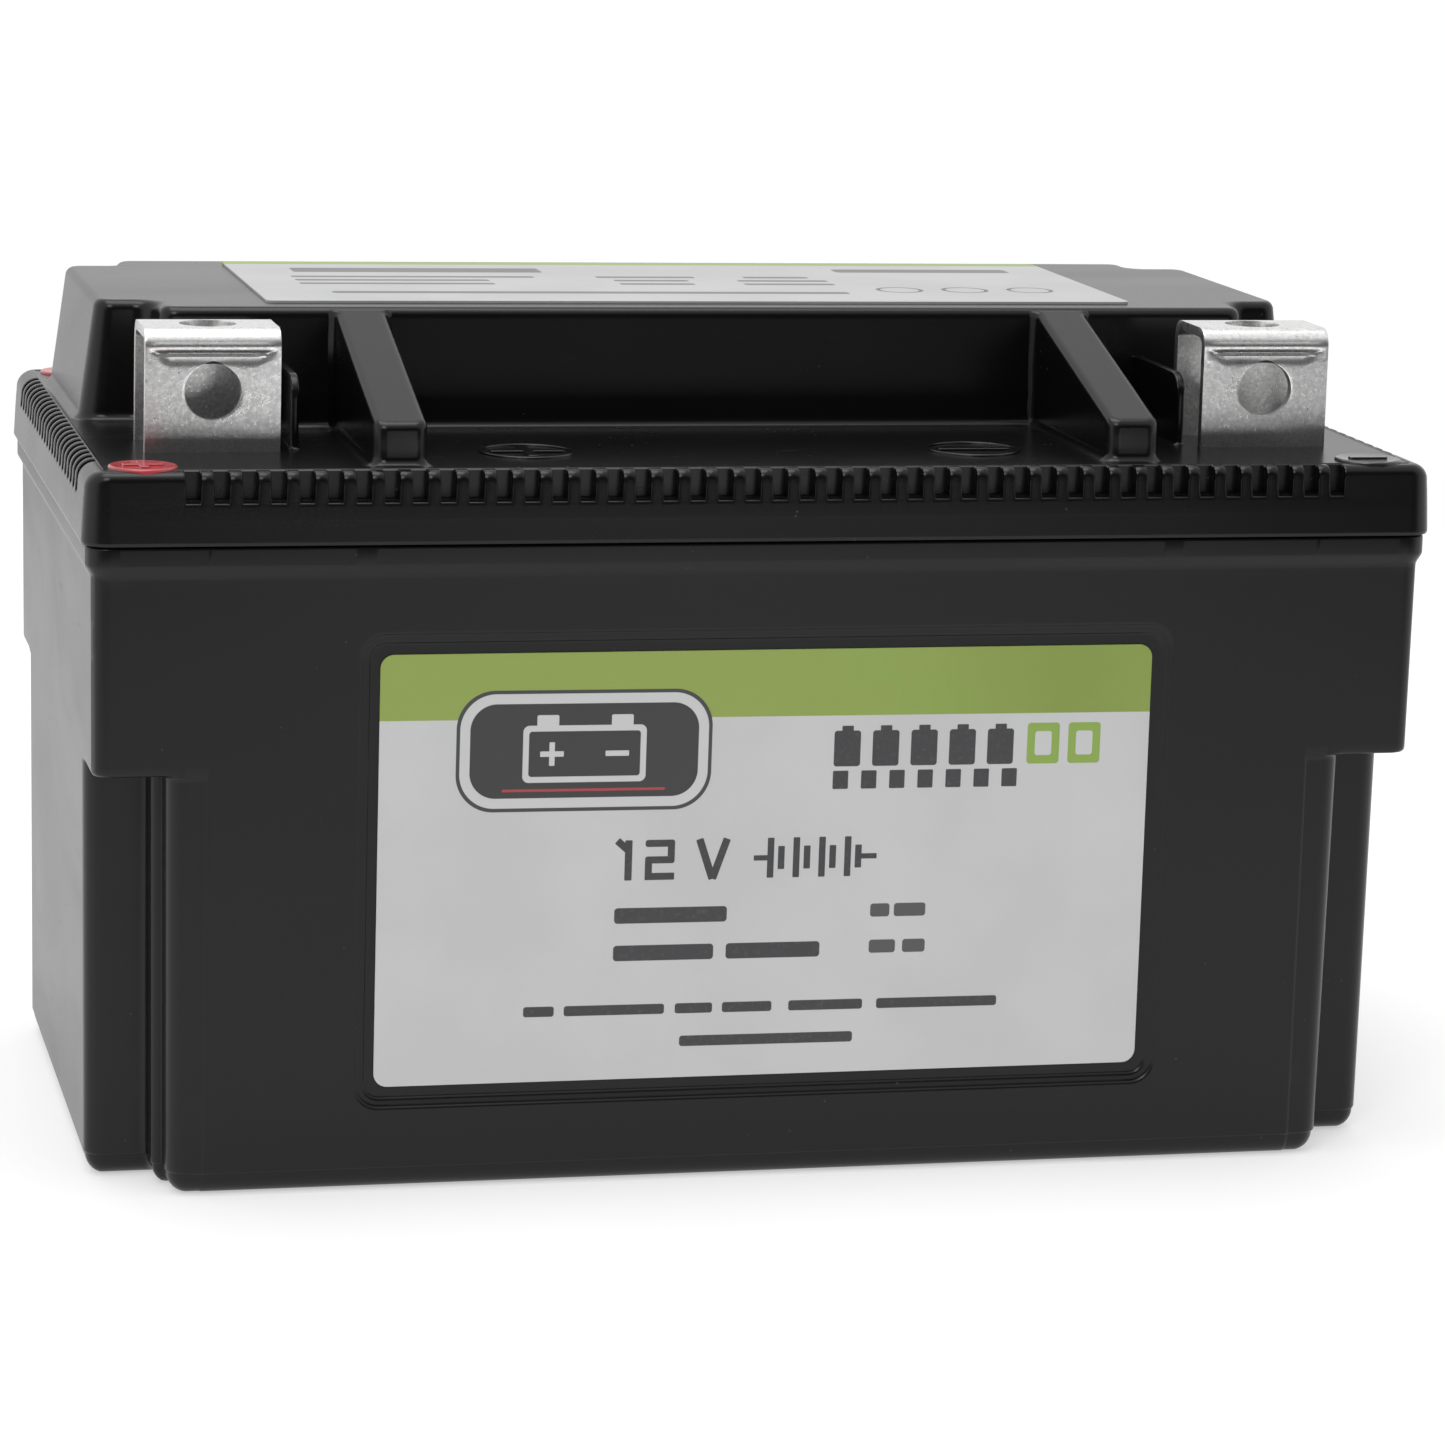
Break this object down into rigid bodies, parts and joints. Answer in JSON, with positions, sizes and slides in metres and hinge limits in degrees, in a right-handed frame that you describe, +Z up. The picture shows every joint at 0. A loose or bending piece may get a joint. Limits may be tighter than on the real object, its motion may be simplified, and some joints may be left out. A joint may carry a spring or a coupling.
{
  "type": "motorcycle battery",
  "caption": "Sealed motorcycle battery: notched container, comb-edged lid with a raised rear block and ribs, folded bolt-hole terminals, and a cell pack inside.",
  "frame": {"origin": "centre of the case's footprint, on the surface it stands on", "axes": "+X to the right along the length as seen from the labelled front, +Y from the front to the rear, +Z up"},
  "size_m": [0.15, 0.087, 0.093],
  "materials": {
    "case_plastic": "satin moulded black",
    "lid_plastic": "satin moulded black",
    "ring_plastic": "moulded",
    "front_label_film": "printed film, green head over light grey",
    "top_label_film": "printed film, light grey with a thin green edge",
    "terminal_metal": "tin-plated, satin",
    "seal_resin": "cast resin",
    "disc_red": "moulded red",
    "disc_black": "moulded black",
    "cell_film": "aluminium laminate pouch",
    "tab_aluminium": "rolled strip",
    "tab_copper": "nickel-plated copper strip",
    "foam": "closed-cell foam",
    "pad_rubber": "rubber sheet",
    "tape": "glass-fibre tape",
    "frame_plastic": "moulded",
    "bus_copper": "punched copper",
    "screw_steel": "zinc plated",
    "board_laminate": "solder-masked laminate",
    "transistor_body": "moulded package",
    "capacitor_sleeve": "sleeved can",
    "plug_nylon": "natural nylon",
    "wire_sleeve": "insulated wire"
  },
  "bodies": {
    "root": {"container": "case_plastic", "lid": "lid_plastic", "seam_ring": "ring_plastic", "front_label": "front_label_film", "top_label": "top_label_film", "terminal_positive": "terminal_metal", "terminal_negative": "terminal_metal", "terminal_seal_positive": "seal_resin", "terminal_seal_negative": "seal_resin", "positive_discs": "disc_red", "negative_discs": "disc_black", "cell_1": "cell_film", "cell_2": "cell_film", "cell_3": "cell_film", "cell_4": "cell_film", "cell_tabs_positive": "tab_aluminium", "cell_tabs_negative": "tab_copper", "cell_foam": "foam", "floor_pad": "pad_rubber", "side_pads": "pad_rubber", "tape_bands": "tape", "busbar_frame": "frame_plastic", "busbar_1_2": "bus_copper", "busbar_2_3": "bus_copper", "busbar_3_4": "bus_copper", "positive_lead": "bus_copper", "negative_lead": "bus_copper", "lead_screws": "screw_steel", "control_board": "board_laminate", "power_transistors": "transistor_body", "board_capacitors": "capacitor_sleeve", "balance_plug": "plug_nylon", "balance_wires": "wire_sleeve", "board_screws": "screw_steel"}
  },
  "joints": []
}
